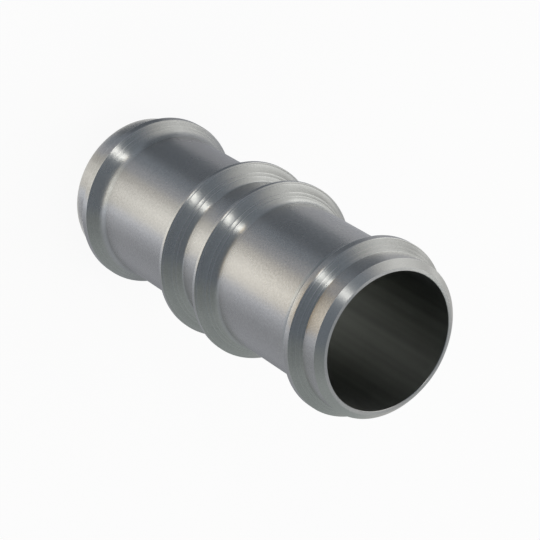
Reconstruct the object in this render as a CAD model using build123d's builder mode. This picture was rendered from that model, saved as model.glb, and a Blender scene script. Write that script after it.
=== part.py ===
"""Straight hose coupling, turned in one piece: a thin tube with a bead near each mouth and a pair
of stop collars at the middle. It stands on one mouth, with its axis along Z."""
import os
from math import cos, isclose, radians, sin, tan

from build123d import *

# Tube: its two outer stretches are the seats that the hose ends are pushed over
length = 144.0
tube_diameter = 50.0
wall = 2.4

# Neck at each mouth, a little thicker than the tube, with a lead-in chamfer and a flat rim
neck_rise = 0.95
neck_length = 8.1
mouth_chamfer = 2.2
bore_edge_break = 0.15

# Bead behind each neck, which keeps a clamped hose from slipping off
bead_height = 4.1
bead_land = 2.4

# Stop collars, one each side of the middle, which the hose ends are pushed up against
collar_height = 5.0
collar_land = 1.3
collar_spacing = 19.8

# Flanks of the beads and collars: cones at this angle to the axis, that run out into the tube in
# hollow coves, of which each takes no more than this share of its flank
flank_angle = 45.0
bead_cove_radius = 5.0
seat_cove_radius = 3.0
waist_cove_radius = 1.5
cove_share = 0.9

# Edges of the lands, each broken over no more than this share of the land's width
land_edge_break = 0.25
land_edge_share = 0.45

tube_radius = tube_diameter / 2
bore_radius = tube_radius - wall
neck_radius = tube_radius + neck_rise
bead_radius = tube_radius + bead_height
collar_radius = tube_radius + collar_height
middle = length / 2
flank_slope = radians(flank_angle)


def draw_flank(land_radius, cove_radius, corner, side):
    """Draws a flank with its cove and returns the height of its foot on the tube. The land's corner is at
    height corner, and the foot is below it if side is -1 or above it if side is 1."""
    rise = land_radius - tube_radius
    crossing = corner + side * rise / tan(flank_slope)
    tangent = min(cove_radius * tan(flank_slope / 2), cove_share * rise / sin(flank_slope))
    foot = crossing + side * tangent
    cove_top = (tube_radius + tangent * sin(flank_slope), crossing - side * tangent * cos(flank_slope))
    RadiusArc((tube_radius, foot), cove_top, -side * tangent / tan(flank_slope / 2))
    Line(cove_top, (land_radius, corner))
    return foot


def corners(radius):
    """The corners of the section at this radius, from the lower mouth to the upper one."""
    vertices = section.vertices().filter_by(lambda vertex: isclose(vertex.X, radius, abs_tol=1e-4))
    return vertices.sort_by(Axis.Y)


# Heights along the axis, from the lower mouth to the middle
bead_bottom = neck_length + (bead_radius - neck_radius) / tan(flank_slope)
bead_top = bead_bottom + bead_land
collar_bottom = middle - collar_spacing / 2 - collar_land / 2
collar_top = collar_bottom + collar_land

with BuildPart() as coupling_body:
    # Section of the wall: outside of the lower half, its mirror image, then the waist and the bore
    with BuildSketch(Plane.XZ) as section:
        with BuildLine():
            Polyline((bore_radius, 0), (neck_radius, 0), (neck_radius, neck_length))
            Polyline((neck_radius, neck_length), (bead_radius, bead_bottom), (bead_radius, bead_top))
            seat_bottom = draw_flank(bead_radius, bead_cove_radius, bead_top, 1)
            seat_top = draw_flank(collar_radius, seat_cove_radius, collar_bottom, -1)
            Line((tube_radius, seat_bottom), (tube_radius, seat_top))
            Line((collar_radius, collar_bottom), (collar_radius, collar_top))
            waist_bottom = draw_flank(collar_radius, waist_cove_radius, collar_top, 1)
            mirror(about=Plane.XZ.offset(-middle))
            Line((tube_radius, waist_bottom), (tube_radius, length - waist_bottom))
            Line((bore_radius, 0), (bore_radius, length))
        make_face()

        # Lead-in chamfers outside the mouths, and the broken edges of the bore
        mouth_corners = corners(neck_radius)
        chamfer([mouth_corners[0], mouth_corners[-1]], mouth_chamfer)
        chamfer(corners(bore_radius), bore_edge_break)

        # Broken edges of the lands
        chamfer(corners(bead_radius), min(land_edge_break, bead_land * land_edge_share))
        chamfer(corners(collar_radius), min(land_edge_break, collar_land * land_edge_share))
    revolve(axis=Axis.Z)

coupling_body.part.label = "coupling_body"

os.makedirs("parts", exist_ok=True)
export_step(coupling_body.part, "parts/coupling_body.step")
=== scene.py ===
"""Looks of a straight hose coupling turned from aluminium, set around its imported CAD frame."""
import logging
import math
from dataclasses import dataclass, field, replace
from enum import Enum
from typing import Any

import bmesh
import bpy
from mathutils import Matrix, Vector

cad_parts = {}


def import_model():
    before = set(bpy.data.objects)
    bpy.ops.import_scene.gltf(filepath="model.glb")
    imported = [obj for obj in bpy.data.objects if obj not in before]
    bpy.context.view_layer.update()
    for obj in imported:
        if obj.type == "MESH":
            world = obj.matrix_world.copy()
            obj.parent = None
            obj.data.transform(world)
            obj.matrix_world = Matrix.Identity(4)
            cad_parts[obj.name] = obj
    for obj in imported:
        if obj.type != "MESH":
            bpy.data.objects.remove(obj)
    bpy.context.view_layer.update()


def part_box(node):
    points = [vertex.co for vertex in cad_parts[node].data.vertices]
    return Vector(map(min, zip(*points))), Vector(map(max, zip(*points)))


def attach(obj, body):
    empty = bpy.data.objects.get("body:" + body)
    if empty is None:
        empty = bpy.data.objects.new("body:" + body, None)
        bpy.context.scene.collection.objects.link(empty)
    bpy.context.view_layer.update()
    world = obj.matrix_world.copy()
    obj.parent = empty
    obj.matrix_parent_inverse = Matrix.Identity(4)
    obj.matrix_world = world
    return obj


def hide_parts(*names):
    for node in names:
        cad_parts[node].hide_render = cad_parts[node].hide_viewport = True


LOG = logging.getLogger("coupling")
MM = 0.001
CAD_NODE = "coupling_body"
CAD_BODY = "root"

# Range that a noise keeps to over most of its area
NOISE_LOW = 0.25
NOISE_HIGH = 0.75

# A quarter turn of the tangent, which runs round the axis, so that reflections are drawn out along it
DRAWN_ALONG_AXIS = 0.25

Point = tuple[float, float]
Colour = tuple[float, float, float, float]
Tree = bpy.types.NodeTree
Socket = bpy.types.NodeSocket


class Tint(Enum):
    """The tint of what stands round the part; the value is its sRGB colour at full brightness."""

    WHITE = "ffffff"
    WARM = "fffcf6"
    PLAIN = "f8f7f5"
    GREENISH = "f1f8f7"
    NEUTRAL = "f3f6ff"
    COOL = "e5f0ff"
    TAN = "ffe6c2"
    MATT = "f4f4f4"


class Finish(Enum):
    """How a stretch of the coupling's surface was made; the value is its material slot on the mesh."""

    SATIN = 0
    FACED = 1
    BORED = 2
    CUT = 3
    SCORED = 4


def linear(hex_colour: str) -> Colour:
    """Turns an sRGB colour into linear light.

    Args:
        hex_colour: The colour as six hex digits, such as "b4b2ad".

    Returns:
        Red, green, blue and an alpha of 1.
    """
    channels = [int(hex_colour[i : i + 2], 16) / 255 for i in (0, 2, 4)]
    red, green, blue = (c / 12.92 if c <= 0.04045 else ((c + 0.055) / 1.055) ** 2.4 for c in channels)
    return red, green, blue, 1.0


def direction(azimuth: float, elevation: float) -> Vector:
    """The unit vector at an azimuth from +X towards +Y and an elevation, both in degrees."""
    a, e = math.radians(azimuth), math.radians(elevation)
    return Vector((math.cos(a) * math.cos(e), math.sin(a) * math.cos(e), math.sin(e)))


def add_node(
    tree: Tree, kind: str, inputs: dict[str | int, Any] | None = None, **settings: Any
) -> bpy.types.Node:
    """Adds one node with its settings and its inputs.

    Args:
        tree: The node tree that gets the node.
        kind: Type of the node, such as "ShaderNodeMix".
        inputs: What goes into each input: a value, or another node's output socket, which is linked.
        settings: Attributes that are set on the node before its inputs.

    Returns:
        The new node.
    """
    node = tree.nodes.new(kind)
    for name, value in settings.items():
        setattr(node, name, value)
    for socket, value in (inputs or {}).items():
        if isinstance(value, bpy.types.NodeSocket):
            tree.links.new(value, node.inputs[socket])
        else:
            node.inputs[socket].default_value = value
    return node


def calculate(tree: Tree, operation: str, *values: float | Socket) -> Socket:
    """The result of one operation, such as "MULTIPLY", on numbers or sockets."""
    return add_node(tree, "ShaderNodeMath", dict(enumerate(values)), operation=operation).outputs[0]


def scale_vector(tree: Tree, vector: Socket, factors: tuple[float, float, float]) -> Socket:
    """A vector with each of its parts multiplied by its own factor."""
    inputs = {0: vector, 1: factors}
    return add_node(tree, "ShaderNodeVectorMath", inputs, operation="MULTIPLY").outputs["Vector"]


def mix(tree: Tree, share: Socket, first: Colour | Socket, second: Colour | Socket) -> Socket:
    """A colour between two others: the first where the share is 0, the second where it is 1."""
    return add_node(tree, "ShaderNodeMix", {0: share, 6: first, 7: second}, data_type="RGBA").outputs[2]


def blend(tree: Tree, value: Socket, start: float, end: float) -> Socket:
    """A share that rises smoothly from 0 to 1 while the value goes from start to end."""
    inputs = {"Value": value, "From Min": start, "From Max": end}
    return add_node(tree, "ShaderNodeMapRange", inputs, interpolation_type="SMOOTHSTEP").outputs["Result"]


def noise(tree: Tree, place: Socket, size: float, detail: float, roughness: float) -> Socket:
    """A noise whose patches are about this size, in metres."""
    inputs = {"Vector": place, "Scale": 1.0 / size, "Detail": detail, "Roughness": roughness}
    return add_node(tree, "ShaderNodeTexNoise", inputs).outputs["Fac"]


def vary(tree: Tree, pattern: Socket, middle: float, spread: float) -> Socket:
    """Turns a noise into a value that varies about a middle.

    Args:
        tree: The node tree that gets the node.
        pattern: The noise.
        middle: The value about which it varies.
        spread: How far it goes to each side of the middle.

    Returns:
        The socket that gives the value.
    """
    inputs = {"Value": pattern, "From Min": NOISE_LOW, "From Max": NOISE_HIGH}
    inputs |= {"To Min": middle - spread, "To Max": middle + spread}
    return add_node(tree, "ShaderNodeMapRange", inputs).outputs["Result"]


def seen_directly(tree: Tree) -> Socket:
    """Tells what is seen, directly or in metal or glass, from what only lights the part.

    Args:
        tree: The node tree that gets the nodes.

    Returns:
        The socket that gives 1 where the ray comes from the camera, metal or glass, and otherwise 0.
    """
    rays = add_node(tree, "ShaderNodeLightPath").outputs
    either = calculate(tree, "MAXIMUM", rays["Is Camera Ray"], rays["Is Glossy Ray"])
    return calculate(tree, "MAXIMUM", either, rays["Is Transmission Ray"])


def empty_tree(owner: bpy.types.Material | bpy.types.World) -> Tree:
    """Clears the node tree of a material or world of what it starts with.

    Args:
        owner: The material or world.

    Returns:
        Its node tree.
    """
    owner.use_nodes = True
    owner.node_tree.nodes.clear()
    return owner.node_tree


def revolve(outline: list[Point], segments: int, slots: list[int]) -> bmesh.types.BMesh:
    """Revolves an outline about the Z axis.

    Args:
        outline: The points of the outline, as radius and height.
        segments: How many faces go round the axis.
        slots: The material slot of each stretch between two points. With as many slots as points the
            outline is closed, and with one fewer it is open.

    Returns:
        The mesh to work on, which the caller frees.
    """
    work = bmesh.new()
    turns = [2 * math.pi * i / segments for i in range(segments)]
    rings = [[work.verts.new((r * math.cos(a), r * math.sin(a), z)) for a in turns] for r, z in outline]
    for k, slot in enumerate(slots):
        ring, beyond = rings[k], rings[(k + 1) % len(rings)]
        for i in range(segments):
            j = (i + 1) % segments
            face = work.faces.new((ring[i], beyond[i], beyond[j], ring[j]))
            face.material_index = slot
    return work


def add_object(name: str, data: bpy.types.ID) -> bpy.types.Object:
    """Adds an object to the scene.

    Args:
        name: Name of the object.
        data: The mesh, lamp or camera that it shows.

    Returns:
        The object.
    """
    piece = bpy.data.objects.new(name, data)
    bpy.context.scene.collection.objects.link(piece)
    return piece


def add_mesh(name: str, work: bmesh.types.BMesh) -> bpy.types.Object:
    """Adds an object for a mesh that was worked on, and frees the working copy.

    Args:
        name: Name of the object and of its mesh.
        work: The mesh that was worked on.

    Returns:
        The object.
    """
    mesh = bpy.data.meshes.new(name)
    work.to_mesh(mesh)
    work.free()
    return add_object(name, mesh)


def aim(piece: bpy.types.Object, at: Vector, towards: Vector, distance: float, roll: float = 0.0) -> None:
    """Places a lamp or a camera so that it looks at a point.

    Args:
        piece: The lamp or the camera.
        at: The point that it looks at.
        towards: The unit vector from that point to the piece.
        distance: How far away it is, in metres.
        roll: Its turn about its own line of sight, in degrees.
    """
    piece.location = at + towards * distance
    piece.rotation_mode = "QUATERNION"
    rolled = Matrix.Rotation(math.radians(roll), 3, "Z").to_quaternion()
    piece.rotation_quaternion = towards.to_track_quat("Z", "Y") @ rolled


@dataclass(frozen=True)
class TurnedAluminium:
    """Aluminium as the lathe leaves it: fine rings round the axis, which draw each reflection out along it.

    The rings of a fine cut lie about 0.1 mm apart, too fine for the render to show, so they act through the
    anisotropy. The rings that are drawn are coarser, and so is the grain of the blasted surface.
    """

    name: str
    pale: str
    dull: str
    roughness: float
    roughness_spread: float
    anisotropy: float
    ring_spacing_mm: float
    ring_depth_mm: float
    grain_mm: float
    grain_depth_mm: float
    grain_length: float = 1.0
    grain_contrast: float = 0.11
    blotch_mm: float = 22.0

    def material(self) -> bpy.types.Material:
        """Builds the material.

        Returns:
            The material, with its rings and grain in object space, in metres.
        """
        made = bpy.data.materials.new(self.name)
        tree = empty_tree(made)
        place = add_node(tree, "ShaderNodeTexCoord").outputs["Object"]
        blotches = noise(tree, place, self.blotch_mm * MM, detail=3.0, roughness=0.55)
        drawn = scale_vector(tree, place, (1.0, 1.0, 1.0 / self.grain_length))
        grain = noise(tree, drawn, self.grain_mm * MM, detail=2.0, roughness=0.6)
        colour = mix(tree, blotches, linear(self.dull), linear(self.pale))
        speckle = vary(tree, grain, 1.0, self.grain_contrast)
        speckled = add_node(tree, "ShaderNodeVectorMath", {0: colour, "Scale": speckle}, operation="SCALE")
        around = add_node(tree, "ShaderNodeTangent", direction_type="RADIAL", axis="Z")
        metal = add_node(
            tree,
            "ShaderNodeBsdfPrincipled",
            {
                "Base Color": speckled.outputs["Vector"],
                "Metallic": 1.0,
                "Roughness": vary(tree, blotches, self.roughness, self.roughness_spread),
                "Anisotropic": self.anisotropy,
                "Anisotropic Rotation": DRAWN_ALONG_AXIS,
                "Normal": self.relief(tree, place, grain),
                "Tangent": around.outputs["Tangent"],
            },
        )
        add_node(tree, "ShaderNodeOutputMaterial", {"Surface": metal.outputs["BSDF"]})
        return made

    def relief(self, tree: Tree, place: Socket, grain: Socket) -> Socket:
        """Lays the grain over the turned rings.

        Args:
            tree: The node tree that gets the nodes.
            place: The place on the object.
            grain: The noise of the grain.

        Returns:
            The socket that gives the normal.
        """
        height = add_node(tree, "ShaderNodeSeparateXYZ", {"Vector": place}).outputs["Z"]
        rings = add_node(
            tree,
            "ShaderNodeTexNoise",
            {"W": height, "Scale": 1.0 / (self.ring_spacing_mm * MM), "Detail": 3.0, "Roughness": 0.7},
            noise_dimensions="1D",
        )
        turned = {"Height": rings.outputs["Fac"], "Strength": 1.0, "Distance": self.ring_depth_mm * MM}
        grained = {
            "Height": grain,
            "Strength": 1.0,
            "Distance": self.grain_depth_mm * MM,
            "Normal": add_node(tree, "ShaderNodeBump", turned).outputs["Normal"],
        }
        return add_node(tree, "ShaderNodeBump", grained).outputs["Normal"]


# Blasted lightly after turning: a soft sheen along the tube, neck and lands, with a fine grain
SATIN_TUBE = TurnedAluminium(
    name="satin_turned_aluminium",
    pale="c3c2bf",
    dull="b7b7b5",
    roughness=0.27,
    roughness_spread=0.015,
    anisotropy=0.5,
    ring_spacing_mm=0.5,
    ring_depth_mm=0.0002,
    grain_mm=0.7,
    grain_depth_mm=0.028,
    grain_contrast=0.1,
)
# Cut by the flank of the tool: its clear rings draw a lamp out into a streak that runs down the flank
FACED_FLANK = TurnedAluminium(
    name="fine_turned_aluminium",
    pale="c6c7c5",
    dull="bbbdbb",
    roughness=0.28,
    roughness_spread=0.02,
    anisotropy=0.85,
    ring_spacing_mm=0.35,
    ring_depth_mm=0.002,
    grain_mm=0.5,
    grain_depth_mm=0.014,
)
# Chamfers and rims, cut last: the brightest of the metal, a lighter colour that paints their highlights
# brighter
FRESH_CUT_WITH_PAINTED_HIGHLIGHT = TurnedAluminium(
    name="fresh_cut_aluminium_painted_highlight",
    pale="d0d0ce",
    dull="c7c9c7",
    roughness=0.28,
    roughness_spread=0.02,
    anisotropy=0.5,
    ring_spacing_mm=0.3,
    ring_depth_mm=0.001,
    grain_mm=0.35,
    grain_depth_mm=0.006,
)
# Broken edges and scored lines: narrow and the least rough, so each shows as a thin streak of light
SCORED_LINE = TurnedAluminium(
    name="scored_aluminium",
    pale="cacbc9",
    dull="c1c2c0",
    roughness=0.25,
    roughness_spread=0.02,
    anisotropy=0.5,
    ring_spacing_mm=0.35,
    ring_depth_mm=0.0005,
    grain_mm=0.35,
    grain_depth_mm=0.002,
)
# Inside of the drawn tube: dull and a little green, with soft streaks along the axis from drawing. It
# isn't turned, so its rings have no depth
DRAWN_BORE = TurnedAluminium(
    name="dark_drawn_aluminium",
    pale="a8aaa5",
    dull="9a9c98",
    roughness=0.42,
    roughness_spread=0.04,
    anisotropy=0.2,
    ring_spacing_mm=0.8,
    ring_depth_mm=0.0,
    grain_mm=6.0,
    grain_depth_mm=0.03,
    grain_length=40.0,
    grain_contrast=0.25,
)
FINISHES: dict[Finish, TurnedAluminium] = {
    Finish.SATIN: SATIN_TUBE,
    Finish.FACED: FACED_FLANK,
    Finish.BORED: DRAWN_BORE,
    Finish.CUT: FRESH_CUT_WITH_PAINTED_HIGHLIGHT,
    Finish.SCORED: SCORED_LINE,
}


@dataclass(frozen=True)
class Rounding:
    """An arc that rounds a corner: its radius in metres, how many faces it has, and its finish."""

    radius: float
    faces: int
    finish: Finish = Finish.FACED


@dataclass
class SectionPath:
    """The outline of the wall's section as it is drawn: points in metres, and each stretch's finish."""

    points: list[Point]
    finishes: list[Finish] = field(default_factory=list)

    def line(self, radius: float, height: float, finish: Finish, longest: float = math.inf) -> None:
        """Draws a straight stretch.

        Args:
            radius: Radius at its end.
            height: Height at its end.
            finish: How the stretch is finished.
            longest: Greatest length of one of the faces that it is divided into.
        """
        r0, z0 = self.points[-1]
        steps = max(1, math.ceil(math.hypot(radius - r0, height - z0) / longest))
        for i in range(1, steps + 1):
            self.points.append((r0 + (radius - r0) * i / steps, z0 + (height - z0) * i / steps))
            self.finishes.append(finish)

    def bend(self, corner: Point, rounding: Rounding, onward: Point, finish: Finish) -> None:
        """Draws straight towards a corner and round it with an arc.

        Args:
            corner: The corner, as radius and height.
            rounding: The arc that rounds the corner.
            onward: A point on the line that leaves the corner.
            finish: How the straight before the arc is finished.
        """
        at, before, after = Vector(corner), Vector(self.points[-1]), Vector(onward)
        back, ahead = (before - at).normalized(), (after - at).normalized()
        half = back.angle(ahead) / 2
        centre = at + (back + ahead).normalized() * (rounding.radius / math.sin(half))
        first = at + back * (rounding.radius / math.tan(half))
        self.line(first.x, first.y, finish)
        begin = first - centre
        sweep = math.pi - 2 * half
        turn = 1.0 if back.cross(ahead) < 0 else -1.0
        for i in range(1, rounding.faces + 1):
            spoke = Matrix.Rotation(turn * sweep * i / rounding.faces, 2) @ begin
            self.points.append((centre.x + spoke.x, centre.y + spoke.y))
            self.finishes.append(rounding.finish)


@dataclass
class CouplingBody:
    """The whole coupling: one turned piece, the same above its middle as below it.

    Sizes are in metres and angles in degrees. Tool lines are placed by their rise above the tube, and the
    edge line by its drop below the land.
    """

    length: float
    collar_radius: float
    wall: float = 2.4 * MM
    tube_radius: float = 25.0 * MM
    neck_rise: float = 0.95 * MM
    neck_length: float = 8.1 * MM
    mouth_chamfer: float = 2.2 * MM
    bore_edge_break: float = 0.15 * MM
    bead_height: float = 4.1 * MM
    bead_land: float = 2.4 * MM
    collar_land: float = 1.3 * MM
    collar_spacing: float = 19.8 * MM
    flank_angle: float = 45.0
    neck_cove: Rounding = Rounding(0.3 * MM, faces=4)
    bead_cove: Rounding = Rounding(5.0 * MM, faces=14)
    seat_cove: Rounding = Rounding(4.0 * MM, faces=12)
    waist_cove: Rounding = Rounding(1.5 * MM, faces=8)
    land_edge: Rounding = Rounding(0.5 * MM, faces=5, finish=Finish.SCORED)
    tool_lines: tuple[float, ...] = (1.47 * MM, 2.4 * MM)
    edge_line: float = 0.5 * MM
    tool_line_width: float = 0.28 * MM
    tool_line_clearance: float = 0.5 * MM
    collar_line_depth: float = 0.048 * MM
    bead_line_depth: float = 0.013 * MM
    tube_face: float = 6.0 * MM
    rim_face: float = 1.0 * MM
    segments: int = 384
    sharp_angle: float = 20.0

    @classmethod
    def from_frame(cls) -> "CouplingBody":
        """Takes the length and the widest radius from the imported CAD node."""
        low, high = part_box(CAD_NODE)
        return cls(length=high.z - low.z, collar_radius=(high.x - low.x) / 2)

    def section(self) -> SectionPath:
        """Draws the lower half of the section, from the middle of the bore round the mouth to the waist.

        Returns:
            The outline in metres, as radius and height.
        """
        middle = self.length / 2
        bore = self.tube_radius - self.wall
        tube, neck = self.tube_radius, self.tube_radius + self.neck_rise
        bead, collar = self.tube_radius + self.bead_height, self.collar_radius
        lean = 1 / math.tan(math.radians(self.flank_angle))
        bead_low = self.neck_length + (bead - neck) * lean
        bead_high = bead_low + self.bead_land
        collar_low = middle - self.collar_spacing / 2 - self.collar_land / 2
        collar_high = collar_low + self.collar_land
        seat_low = bead_high + (bead - tube) * lean
        seat_high = collar_low - (collar - tube) * lean
        waist_low = collar_high + (collar - tube) * lean

        path = SectionPath([(bore, middle)])
        path.line(bore, self.bore_edge_break, Finish.BORED, self.tube_face)
        path.line(bore + self.bore_edge_break, 0, Finish.CUT, self.rim_face)
        path.line(neck - self.mouth_chamfer, 0, Finish.CUT, self.rim_face)
        path.line(neck, self.mouth_chamfer, Finish.CUT, self.rim_face)
        path.bend((neck, self.neck_length), self.neck_cove, (bead, bead_low), Finish.SATIN)
        self.land(path, (bead, bead_low, bead_high), neck, self.bead_line_depth)
        path.bend((tube, seat_low), self.bead_cove, (tube, seat_high), Finish.FACED)
        path.bend((tube, seat_high), self.seat_cove, (collar, collar_low), Finish.SATIN)
        self.land(path, (collar, collar_low, collar_high), tube, self.collar_line_depth)
        path.bend((tube, waist_low), self.waist_cove, (tube, middle), Finish.FACED)
        path.line(tube, middle, Finish.SATIN, self.tube_face)
        return path

    def land(self, path: SectionPath, size: tuple[float, float, float], foot: float, depth: float) -> None:
        """Draws the flank up to a land, the land, its two rounded edges, and the tool lines on both flanks.

        Args:
            path: The section drawn so far, which ends at the root of the flank.
            size: Radius of the land, and the heights of its lower and upper corners.
            foot: Radius at the foot of the flank below the land.
            depth: Depth of the tool lines.
        """
        radius, low, high = size
        lean = 1 / math.tan(math.radians(self.flank_angle))
        drops = [radius - self.tube_radius - line for line in self.tool_lines] + [self.edge_line]
        lowest = foot + self.tool_line_clearance
        for drop in (d for d in sorted(drops, reverse=True) if radius - d > lowest):
            self.tool_line(path, radius - drop, low - drop * lean, 1.0, depth)
        path.bend((radius, low), self.land_edge, (radius, high), Finish.FACED)
        path.bend((radius, high), self.land_edge, (radius - MM, high + MM * lean), Finish.SATIN)
        for drop in sorted(drops):
            self.tool_line(path, radius - drop, high + drop * lean, -1.0, depth)

    def tool_line(self, path: SectionPath, radius: float, height: float, rise: float, depth: float) -> None:
        """Draws a flank up to one of the fine lines that the tool left on it, and the line itself.

        Args:
            path: The section drawn so far.
            radius: Radius at the middle of the line.
            height: Height at the middle of the line.
            rise: 1 where the flank climbs away from the axis, or -1 where it comes back towards it.
            depth: Depth of the line.
        """
        slope = math.radians(self.flank_angle)
        along = Vector((rise * math.sin(slope), math.cos(slope)))
        into = Vector((-math.cos(slope), rise * math.sin(slope)))
        start = Vector((radius, height)) - along * self.tool_line_width / 2
        bottom = start + along * self.tool_line_width / 2 + into * depth
        end = start + along * self.tool_line_width
        for point, finish in ((start, Finish.FACED), (bottom, Finish.SCORED), (end, Finish.SCORED)):
            path.line(point.x, point.y, finish)

    def build(self) -> bpy.types.Object:
        """Revolves the section and its mirror image about the axis.

        Returns:
            The coupling as one closed mesh, with a material slot for each finish.
        """
        half = self.section()
        outline = half.points + [(r, self.length - z) for r, z in reversed(half.points[1:-1])]
        finishes = half.finishes + list(reversed(half.finishes))
        work = revolve(outline, self.segments, [finish.value for finish in finishes])
        for face in work.faces:
            face.smooth = True
        bmesh.ops.recalc_face_normals(work, faces=work.faces)
        self.crease(work)
        return add_mesh(CAD_NODE + "_turned", work)

    def crease(self, work: bmesh.types.BMesh) -> None:
        """Marks the edges where the lathe tool left a corner, so that they shade as corners."""
        for edge in work.edges:
            edge.smooth = edge.calc_face_angle(0.0) < math.radians(self.sharp_angle)

    def dress(self, piece: bpy.types.Object) -> None:
        """Gives the coupling its finishes, and ties it to the CAD node that it stands for.

        Args:
            piece: The coupling, as it was built.
        """
        for finish in Finish:
            piece.data.materials.append(FINISHES[finish].material())
        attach(piece, CAD_BODY)
        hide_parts(CAD_NODE)


@dataclass(frozen=True)
class Stop:
    """One stop of a ramp round the axis: a direction in degrees from +X, its grey and its tint."""

    azimuth: float
    grey: float
    tint: Tint = Tint.NEUTRAL

    def colour(self, brightest: float) -> Colour:
        """Works out the stop's colour in a ramp.

        Args:
            brightest: The grey at the ramp's full strength.

        Returns:
            Its colour, as a share of that grey.
        """
        red, green, blue, alpha = linear(self.tint.value)
        share = self.grey / brightest
        return red * share, green * share, blue * share, alpha

    def dimmed(self, share: float) -> "Stop":
        """The same stop with this share of its brightness."""
        return replace(self, grey=self.grey * share)


@dataclass
class Studio:
    """Pale floor, light tent and air around the coupling, which stands at the origin.

    Lengths are in metres and azimuths in degrees. The tent glows with painted light that only metal shows,
    so its greys paint the reflections on the part. Its low stops set the glow of its floor near the part,
    the far stops the ground beyond it and the high stops its walls. One ends and the next begins at a rise,
    the height above the part's middle for each metre of distance from the axis.
    """

    height: float
    floor_size: float = 6.0
    floor_drop: float = 0.02 * MM
    floor_glow: float = 0.9
    air_strength: float = 0.75
    tent_radius: float = 1.2
    tent_opening: float = 27.5 * MM
    tent_lift: float = 0.3 * MM
    tent_segments: int = 96
    tent_rows: int = 24
    # The grey at the glow's full strength, above every stop's grey, so that no colour of a ramp passes 1
    brightest: float = 2.0
    # From the opening out to here, the warm side and the back keep only these shares of their light:
    # painted shade on the glow close by the part's foot. The back runs from its first azimuth through 0 to
    # its second
    foot_radius: float = 0.095
    foot_warm_share: float = 0.72
    foot_back_share: float = 0.82
    foot_back: tuple[float, float] = (330.0, 60.0)
    # Beyond this radius the warm side of the glow is painted tan and dimmer: a painted tan reflection in
    # the metal
    cloth_radius: float = 0.16
    cloth_edge: float = 5.0 * MM
    tan_band_share: float = 0.62
    # Rises where the far ground, the walls and the crown begin
    far_rise: tuple[float, float] = (-0.37, -0.29)
    wall_rise: tuple[float, float] = (-0.08, 0.04)
    crown_rise: tuple[float, float] = (0.98, 1.13)
    crown: Stop = Stop(0, 0.27, Tint.COOL)
    # The tent's bands fan out from this azimuth, the side that the photograph was taken from
    fan_azimuth: float = 155.2
    fan_radius: float = 12.5 * MM
    low_stops: tuple[Stop, ...] = (
        Stop(0, 0.49),
        Stop(15, 0.475),
        Stop(30, 0.47),
        Stop(46, 0.46),
        Stop(55, 0.24, Tint.COOL),
        Stop(80, 0.2, Tint.COOL),
        Stop(93, 0.19, Tint.COOL),
        Stop(115, 0.36, Tint.COOL),
        Stop(135, 0.52),
        # Painted reflection: these warm stops give the broad bright band along the tubes
        Stop(150, 0.88, Tint.WARM),
        Stop(163, 1.28, Tint.WARM),
        Stop(177, 1.5, Tint.WARM),
        Stop(192, 1.3, Tint.WARM),
        Stop(206, 0.94),
        Stop(220, 0.63),
        Stop(240, 0.46),
        Stop(290, 0.47),
        Stop(308, 0.36),
        Stop(322, 0.31),
        Stop(345, 0.53),
        Stop(360, 0.49),
    )
    far_stops: tuple[Stop, ...] = (
        Stop(0, 0.68, Tint.PLAIN),
        Stop(20, 1.3, Tint.PLAIN),
        Stop(55, 1.75, Tint.PLAIN),
        Stop(68, 1.0, Tint.PLAIN),
        Stop(80, 0.5),
        Stop(100, 0.3, Tint.COOL),
        Stop(126, 0.26, Tint.COOL),
        # Painted highlight: a bright tan strip below the strip lamp, which draws its spots down towards the
        # ribs' roots
        Stop(130, 1.1, Tint.TAN),
        Stop(135, 1.1, Tint.TAN),
        Stop(139, 0.26, Tint.COOL),
        Stop(155, 0.16, Tint.COOL),
        Stop(203, 0.15, Tint.COOL),
        Stop(220, 0.35, Tint.GREENISH),
        Stop(246, 0.46, Tint.GREENISH),
        Stop(300, 0.46, Tint.GREENISH),
        Stop(325, 0.56, Tint.PLAIN),
        Stop(345, 0.62, Tint.PLAIN),
        Stop(360, 0.68, Tint.PLAIN),
    )
    high_stops: tuple[Stop, ...] = (
        Stop(0, 0.55, Tint.PLAIN),
        Stop(22, 0.52, Tint.PLAIN),
        Stop(40, 0.82, Tint.PLAIN),
        Stop(56, 0.95, Tint.PLAIN),
        Stop(66, 0.84, Tint.PLAIN),
        Stop(78, 0.6, Tint.PLAIN),
        Stop(92, 0.35),
        Stop(102, 0.28, Tint.COOL),
        Stop(115, 0.27, Tint.COOL),
        Stop(135, 0.26, Tint.COOL),
        Stop(155, 0.25, Tint.COOL),
        Stop(180, 0.22, Tint.COOL),
        Stop(203, 0.225, Tint.COOL),
        Stop(217, 0.27, Tint.GREENISH),
        Stop(232, 0.31, Tint.GREENISH),
        Stop(250, 0.39, Tint.GREENISH),
        Stop(300, 0.41, Tint.GREENISH),
        Stop(316, 0.6, Tint.PLAIN),
        Stop(335, 0.55, Tint.PLAIN),
        Stop(360, 0.55, Tint.PLAIN),
    )

    def floor(self) -> bpy.types.Object:
        """Lays the pale floor.

        Returns:
            The floor, white to the camera and in what metal shows, with a faint shadow of the part.
        """
        bpy.ops.mesh.primitive_plane_add(size=self.floor_size, location=(0, 0, -self.floor_drop))
        piece = bpy.context.object
        piece.name = "pale_floor"
        made = bpy.data.materials.new("pale_matt_floor")
        tree = empty_tree(made)
        share = calculate(tree, "MULTIPLY", seen_directly(tree), self.floor_glow)
        matt = add_node(tree, "ShaderNodeBsdfDiffuse", {"Color": linear(Tint.MATT.value)})
        glow = add_node(tree, "ShaderNodeEmission", {"Color": linear(Tint.WHITE.value), "Strength": 1.0})
        layers = {"Fac": share, 1: matt.outputs["BSDF"], 2: glow.outputs["Emission"]}
        both = add_node(tree, "ShaderNodeMixShader", layers)
        add_node(tree, "ShaderNodeOutputMaterial", {"Surface": both.outputs["Shader"]})
        made.cycles.emission_sampling = "NONE"
        piece.data.materials.append(made)
        return piece

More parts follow.
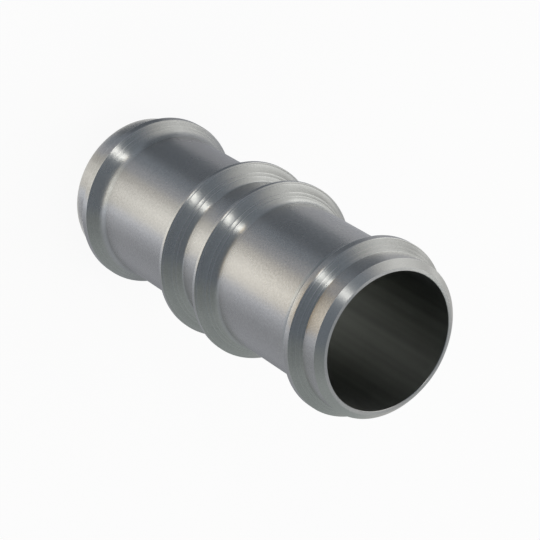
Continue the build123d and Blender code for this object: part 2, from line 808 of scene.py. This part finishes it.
    def world(self) -> None:
        """Lights the studio evenly, with a white background behind everything."""
        world = bpy.data.worlds.new("studio_air")
        bpy.context.scene.world = world
        tree = empty_tree(world)
        limits = {"From Min": 0.0, "From Max": 1.0, "To Min": self.air_strength, "To Max": 1.0}
        strength = add_node(tree, "ShaderNodeMapRange", {"Value": seen_directly(tree)} | limits)
        light = {"Color": linear(Tint.WHITE.value), "Strength": strength.outputs["Result"]}
        air = add_node(tree, "ShaderNodeBackground", light)
        add_node(tree, "ShaderNodeOutputWorld", {"Surface": air.outputs["Background"]})

    def tent(self) -> bpy.types.Object:
        """Pitches the light tent: a floor and a dome glowing with painted reflections, which light nothing
        but what metal shows.

        Returns:
            The tent, whose glow is painted unevenly round the part, brighter on one side, to paint the
            metal's reflections.
        """
        outline = [(self.tent_opening, self.tent_lift), (self.tent_radius, self.tent_lift)]
        for i in range(1, self.tent_rows + 1):
            turn = math.pi / 2 * i / self.tent_rows
            radius = max(self.tent_radius * math.cos(turn), MM)
            outline.append((radius, self.tent_radius * math.sin(turn) + self.tent_lift))
        piece = add_mesh("reflection_tent", revolve(outline, self.tent_segments, [0] * (len(outline) - 1)))
        piece.data.materials.append(self.painted_reflection_glow())
        piece.visible_camera = False
        piece.visible_diffuse = False
        piece.visible_shadow = False
        return piece

    def painted_reflection_glow(self) -> bpy.types.Material:
        """Paints the tent's glow, set by direction and by rise: painted reflections for the metal.

        Returns:
            The material, which glows with the greys of the stops.
        """
        made = bpy.data.materials.new("painted_reflection_glow")
        tree = empty_tree(made)
        place = add_node(tree, "ShaderNodeTexCoord").outputs["Object"]
        flat = scale_vector(tree, place, (1.0, 1.0, 0.0))
        reach = add_node(tree, "ShaderNodeVectorMath", {0: flat}, operation="LENGTH").outputs["Value"]
        height = add_node(tree, "ShaderNodeSeparateXYZ", {"Vector": place}).outputs["Z"]
        rise = calculate(tree, "DIVIDE", calculate(tree, "SUBTRACT", height, self.height / 2), reach)
        around = self.fanned_turn(tree, flat, reach)

        foot = self.ramp(tree, around, tuple(self.shaded_at_foot(stop) for stop in self.low_stops))
        low = self.ramp(tree, around, self.low_stops)
        tan_band = self.ramp(tree, around, tuple(self.on_tan_band(stop) for stop in self.low_stops))
        far = self.ramp(tree, around, self.far_stops)
        high = self.ramp(tree, around, self.high_stops)
        crown = self.crown.colour(self.brightest)

        tan_band_from = (self.cloth_radius - self.cloth_edge, self.cloth_radius + self.cloth_edge)
        colour = mix(tree, blend(tree, reach, self.tent_opening, self.foot_radius), foot, low)
        colour = mix(tree, blend(tree, reach, *tan_band_from), colour, tan_band)
        colour = mix(tree, blend(tree, rise, *self.far_rise), colour, far)
        colour = mix(tree, blend(tree, rise, *self.wall_rise), colour, high)
        colour = mix(tree, blend(tree, rise, *self.crown_rise), colour, crown)
        glow = add_node(tree, "ShaderNodeEmission", {"Color": colour, "Strength": self.brightest})
        add_node(tree, "ShaderNodeOutputMaterial", {"Surface": glow.outputs["Emission"]})
        made.cycles.emission_sampling = "NONE"
        return made

    def on_tan_band(self, stop: Stop) -> Stop:
        """A low stop further out, where the warm side of the glow is painted tan and dimmer, as a painted
        reflection.
        """
        return replace(stop.dimmed(self.tan_band_share), tint=Tint.TAN) if stop.tint is Tint.WARM else stop

    def shaded_at_foot(self, stop: Stop) -> Stop:
        """Dims a low stop close by the part, on the warm side and on the back: painted shade round the
        part's foot.

        Args:
            stop: The stop as it is further out.

        Returns:
            The stop as it is close by.
        """
        if stop.tint is Tint.WARM:
            return stop.dimmed(self.foot_warm_share)
        begin, end = self.foot_back
        return stop if end < stop.azimuth < begin else stop.dimmed(self.foot_back_share)

    def fanned_turn(self, tree: Tree, flat: Socket, reach: Socket) -> Socket:
        """The turn round the axis, fanned out near the part so that a tube shows the same bands all along.

        Args:
            tree: The node tree that gets the nodes.
            flat: The place on the tent, without its height.
            reach: The distance from the axis.

        Returns:
            The socket that gives the turn, from 0 to 1.
        """
        facing = {"Vector": flat, "Angle": -math.radians(self.fan_azimuth)}
        spun = add_node(tree, "ShaderNodeVectorRotate", facing, rotation_type="Z_AXIS").outputs["Vector"]
        parts = add_node(tree, "ShaderNodeSeparateXYZ", {"Vector": spun}).outputs
        offset = calculate(tree, "ARCTAN2", parts["Y"], parts["X"])
        share = calculate(tree, "SUBTRACT", 1.0, calculate(tree, "DIVIDE", self.fan_radius, reach))
        limits = {"Value": calculate(tree, "DIVIDE", offset, share), "Min": -math.pi, "Max": math.pi}
        kept = add_node(tree, "ShaderNodeClamp", limits).outputs[0]
        turn = calculate(tree, "MULTIPLY_ADD", kept, 1 / (2 * math.pi), self.fan_azimuth / 360)
        return calculate(tree, "FRACT", turn)

    def ramp(self, tree: Tree, around: Socket, stops: tuple[Stop, ...]) -> Socket:
        """A colour that changes round the axis.

        Args:
            tree: The node tree that gets the ramp.
            around: The turn round the axis, from 0 to 1.
            stops: The greys and tints at some azimuths, in order.

        Returns:
            The socket that gives the colour, as a share of the brightest.
        """
        node = add_node(tree, "ShaderNodeValToRGB", {"Fac": around})
        node.color_ramp.interpolation = "EASE"
        elements = node.color_ramp.elements
        while len(elements) < len(stops):
            elements.new(0.5)
        for element, stop in zip(elements, stops):
            element.position = stop.azimuth / 360
            element.color = stop.colour(self.brightest)
        return node.outputs["Color"]


@dataclass(frozen=True)
class SoftLamp:
    """A soft lamp that faces the part's middle, with its height upright. In degrees, metres and watts."""

    name: str
    azimuth: float
    elevation: float
    distance: float
    width: float
    height: float
    watts: float

    def place(self, middle: Vector) -> bpy.types.Object:
        """Stands the lamp.

        Args:
            middle: The middle of the part.

        Returns:
            The lamp.
        """
        light = bpy.data.lights.new(self.name, "AREA")
        light.shape = "RECTANGLE"
        light.size = self.width
        light.size_y = self.height
        light.energy = self.watts
        light.color = linear(Tint.WARM.value)[:3]
        piece = add_object(self.name, light)
        aim(piece, middle, direction(self.azimuth, self.elevation), self.distance)
        return piece


# Tall and narrow, beside the camera: the bright spots on the ribs and on the upper chamfer
STRIP_LAMP = SoftLamp(
    name="strip_lamp", azimuth=132.3, elevation=19.0, distance=0.95, width=0.12, height=1.14, watts=1.06
)
# Small, from the side away from the camera: it brightens the flat rim of the upper mouth, and little else
FILL_LAMP = SoftLamp(
    name="fill_lamp", azimuth=0.0, elevation=46.0, distance=1.1, width=0.4, height=0.4, watts=0.9
)


@dataclass(frozen=True)
class PhotoCamera:
    """The camera, placed as the photograph was taken: above the upper mouth, and rolled on its side."""

    aim_at: Vector = field(default_factory=lambda: Vector((-0.14, -0.30, 80.85)) * MM)
    azimuth: float = 155.155
    elevation: float = 48.819
    roll: float = 121.6
    distance: float = 741.76 * MM
    lens: float = 154.79
    sensor: float = 36.0
    nearest: float = 0.01
    farthest: float = 20.0

    def place(self) -> bpy.types.Object:
        """Makes the camera the scene's own.

        Returns:
            The camera.
        """
        data = bpy.data.cameras.new("photo_camera")
        data.sensor_width = self.sensor
        data.lens = self.lens
        data.clip_start = self.nearest
        data.clip_end = self.farthest
        piece = add_object("photo_camera", data)
        aim(piece, self.aim_at, direction(self.azimuth, self.elevation), self.distance, self.roll)
        bpy.context.scene.camera = piece
        return piece


def main() -> None:
    """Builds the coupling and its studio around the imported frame."""
    logging.basicConfig(level=logging.INFO, format="%(name)s: %(message)s")
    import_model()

    coupling = CouplingBody.from_frame()
    body = coupling.build()
    coupling.dress(body)
    LOG.info("%s: %d faces", body.name, len(body.data.polygons))

    studio = Studio(height=coupling.length)
    middle = Vector((0, 0, coupling.length / 2))
    studio.world()
    for piece in (
        studio.floor(),
        studio.tent(),
        STRIP_LAMP.place(middle),
        FILL_LAMP.place(middle),
        PhotoCamera().place(),
    ):
        LOG.info("%s placed", piece.name)

    bpy.context.scene.view_settings.view_transform = "Standard"


if __name__ == "__main__":
    main()
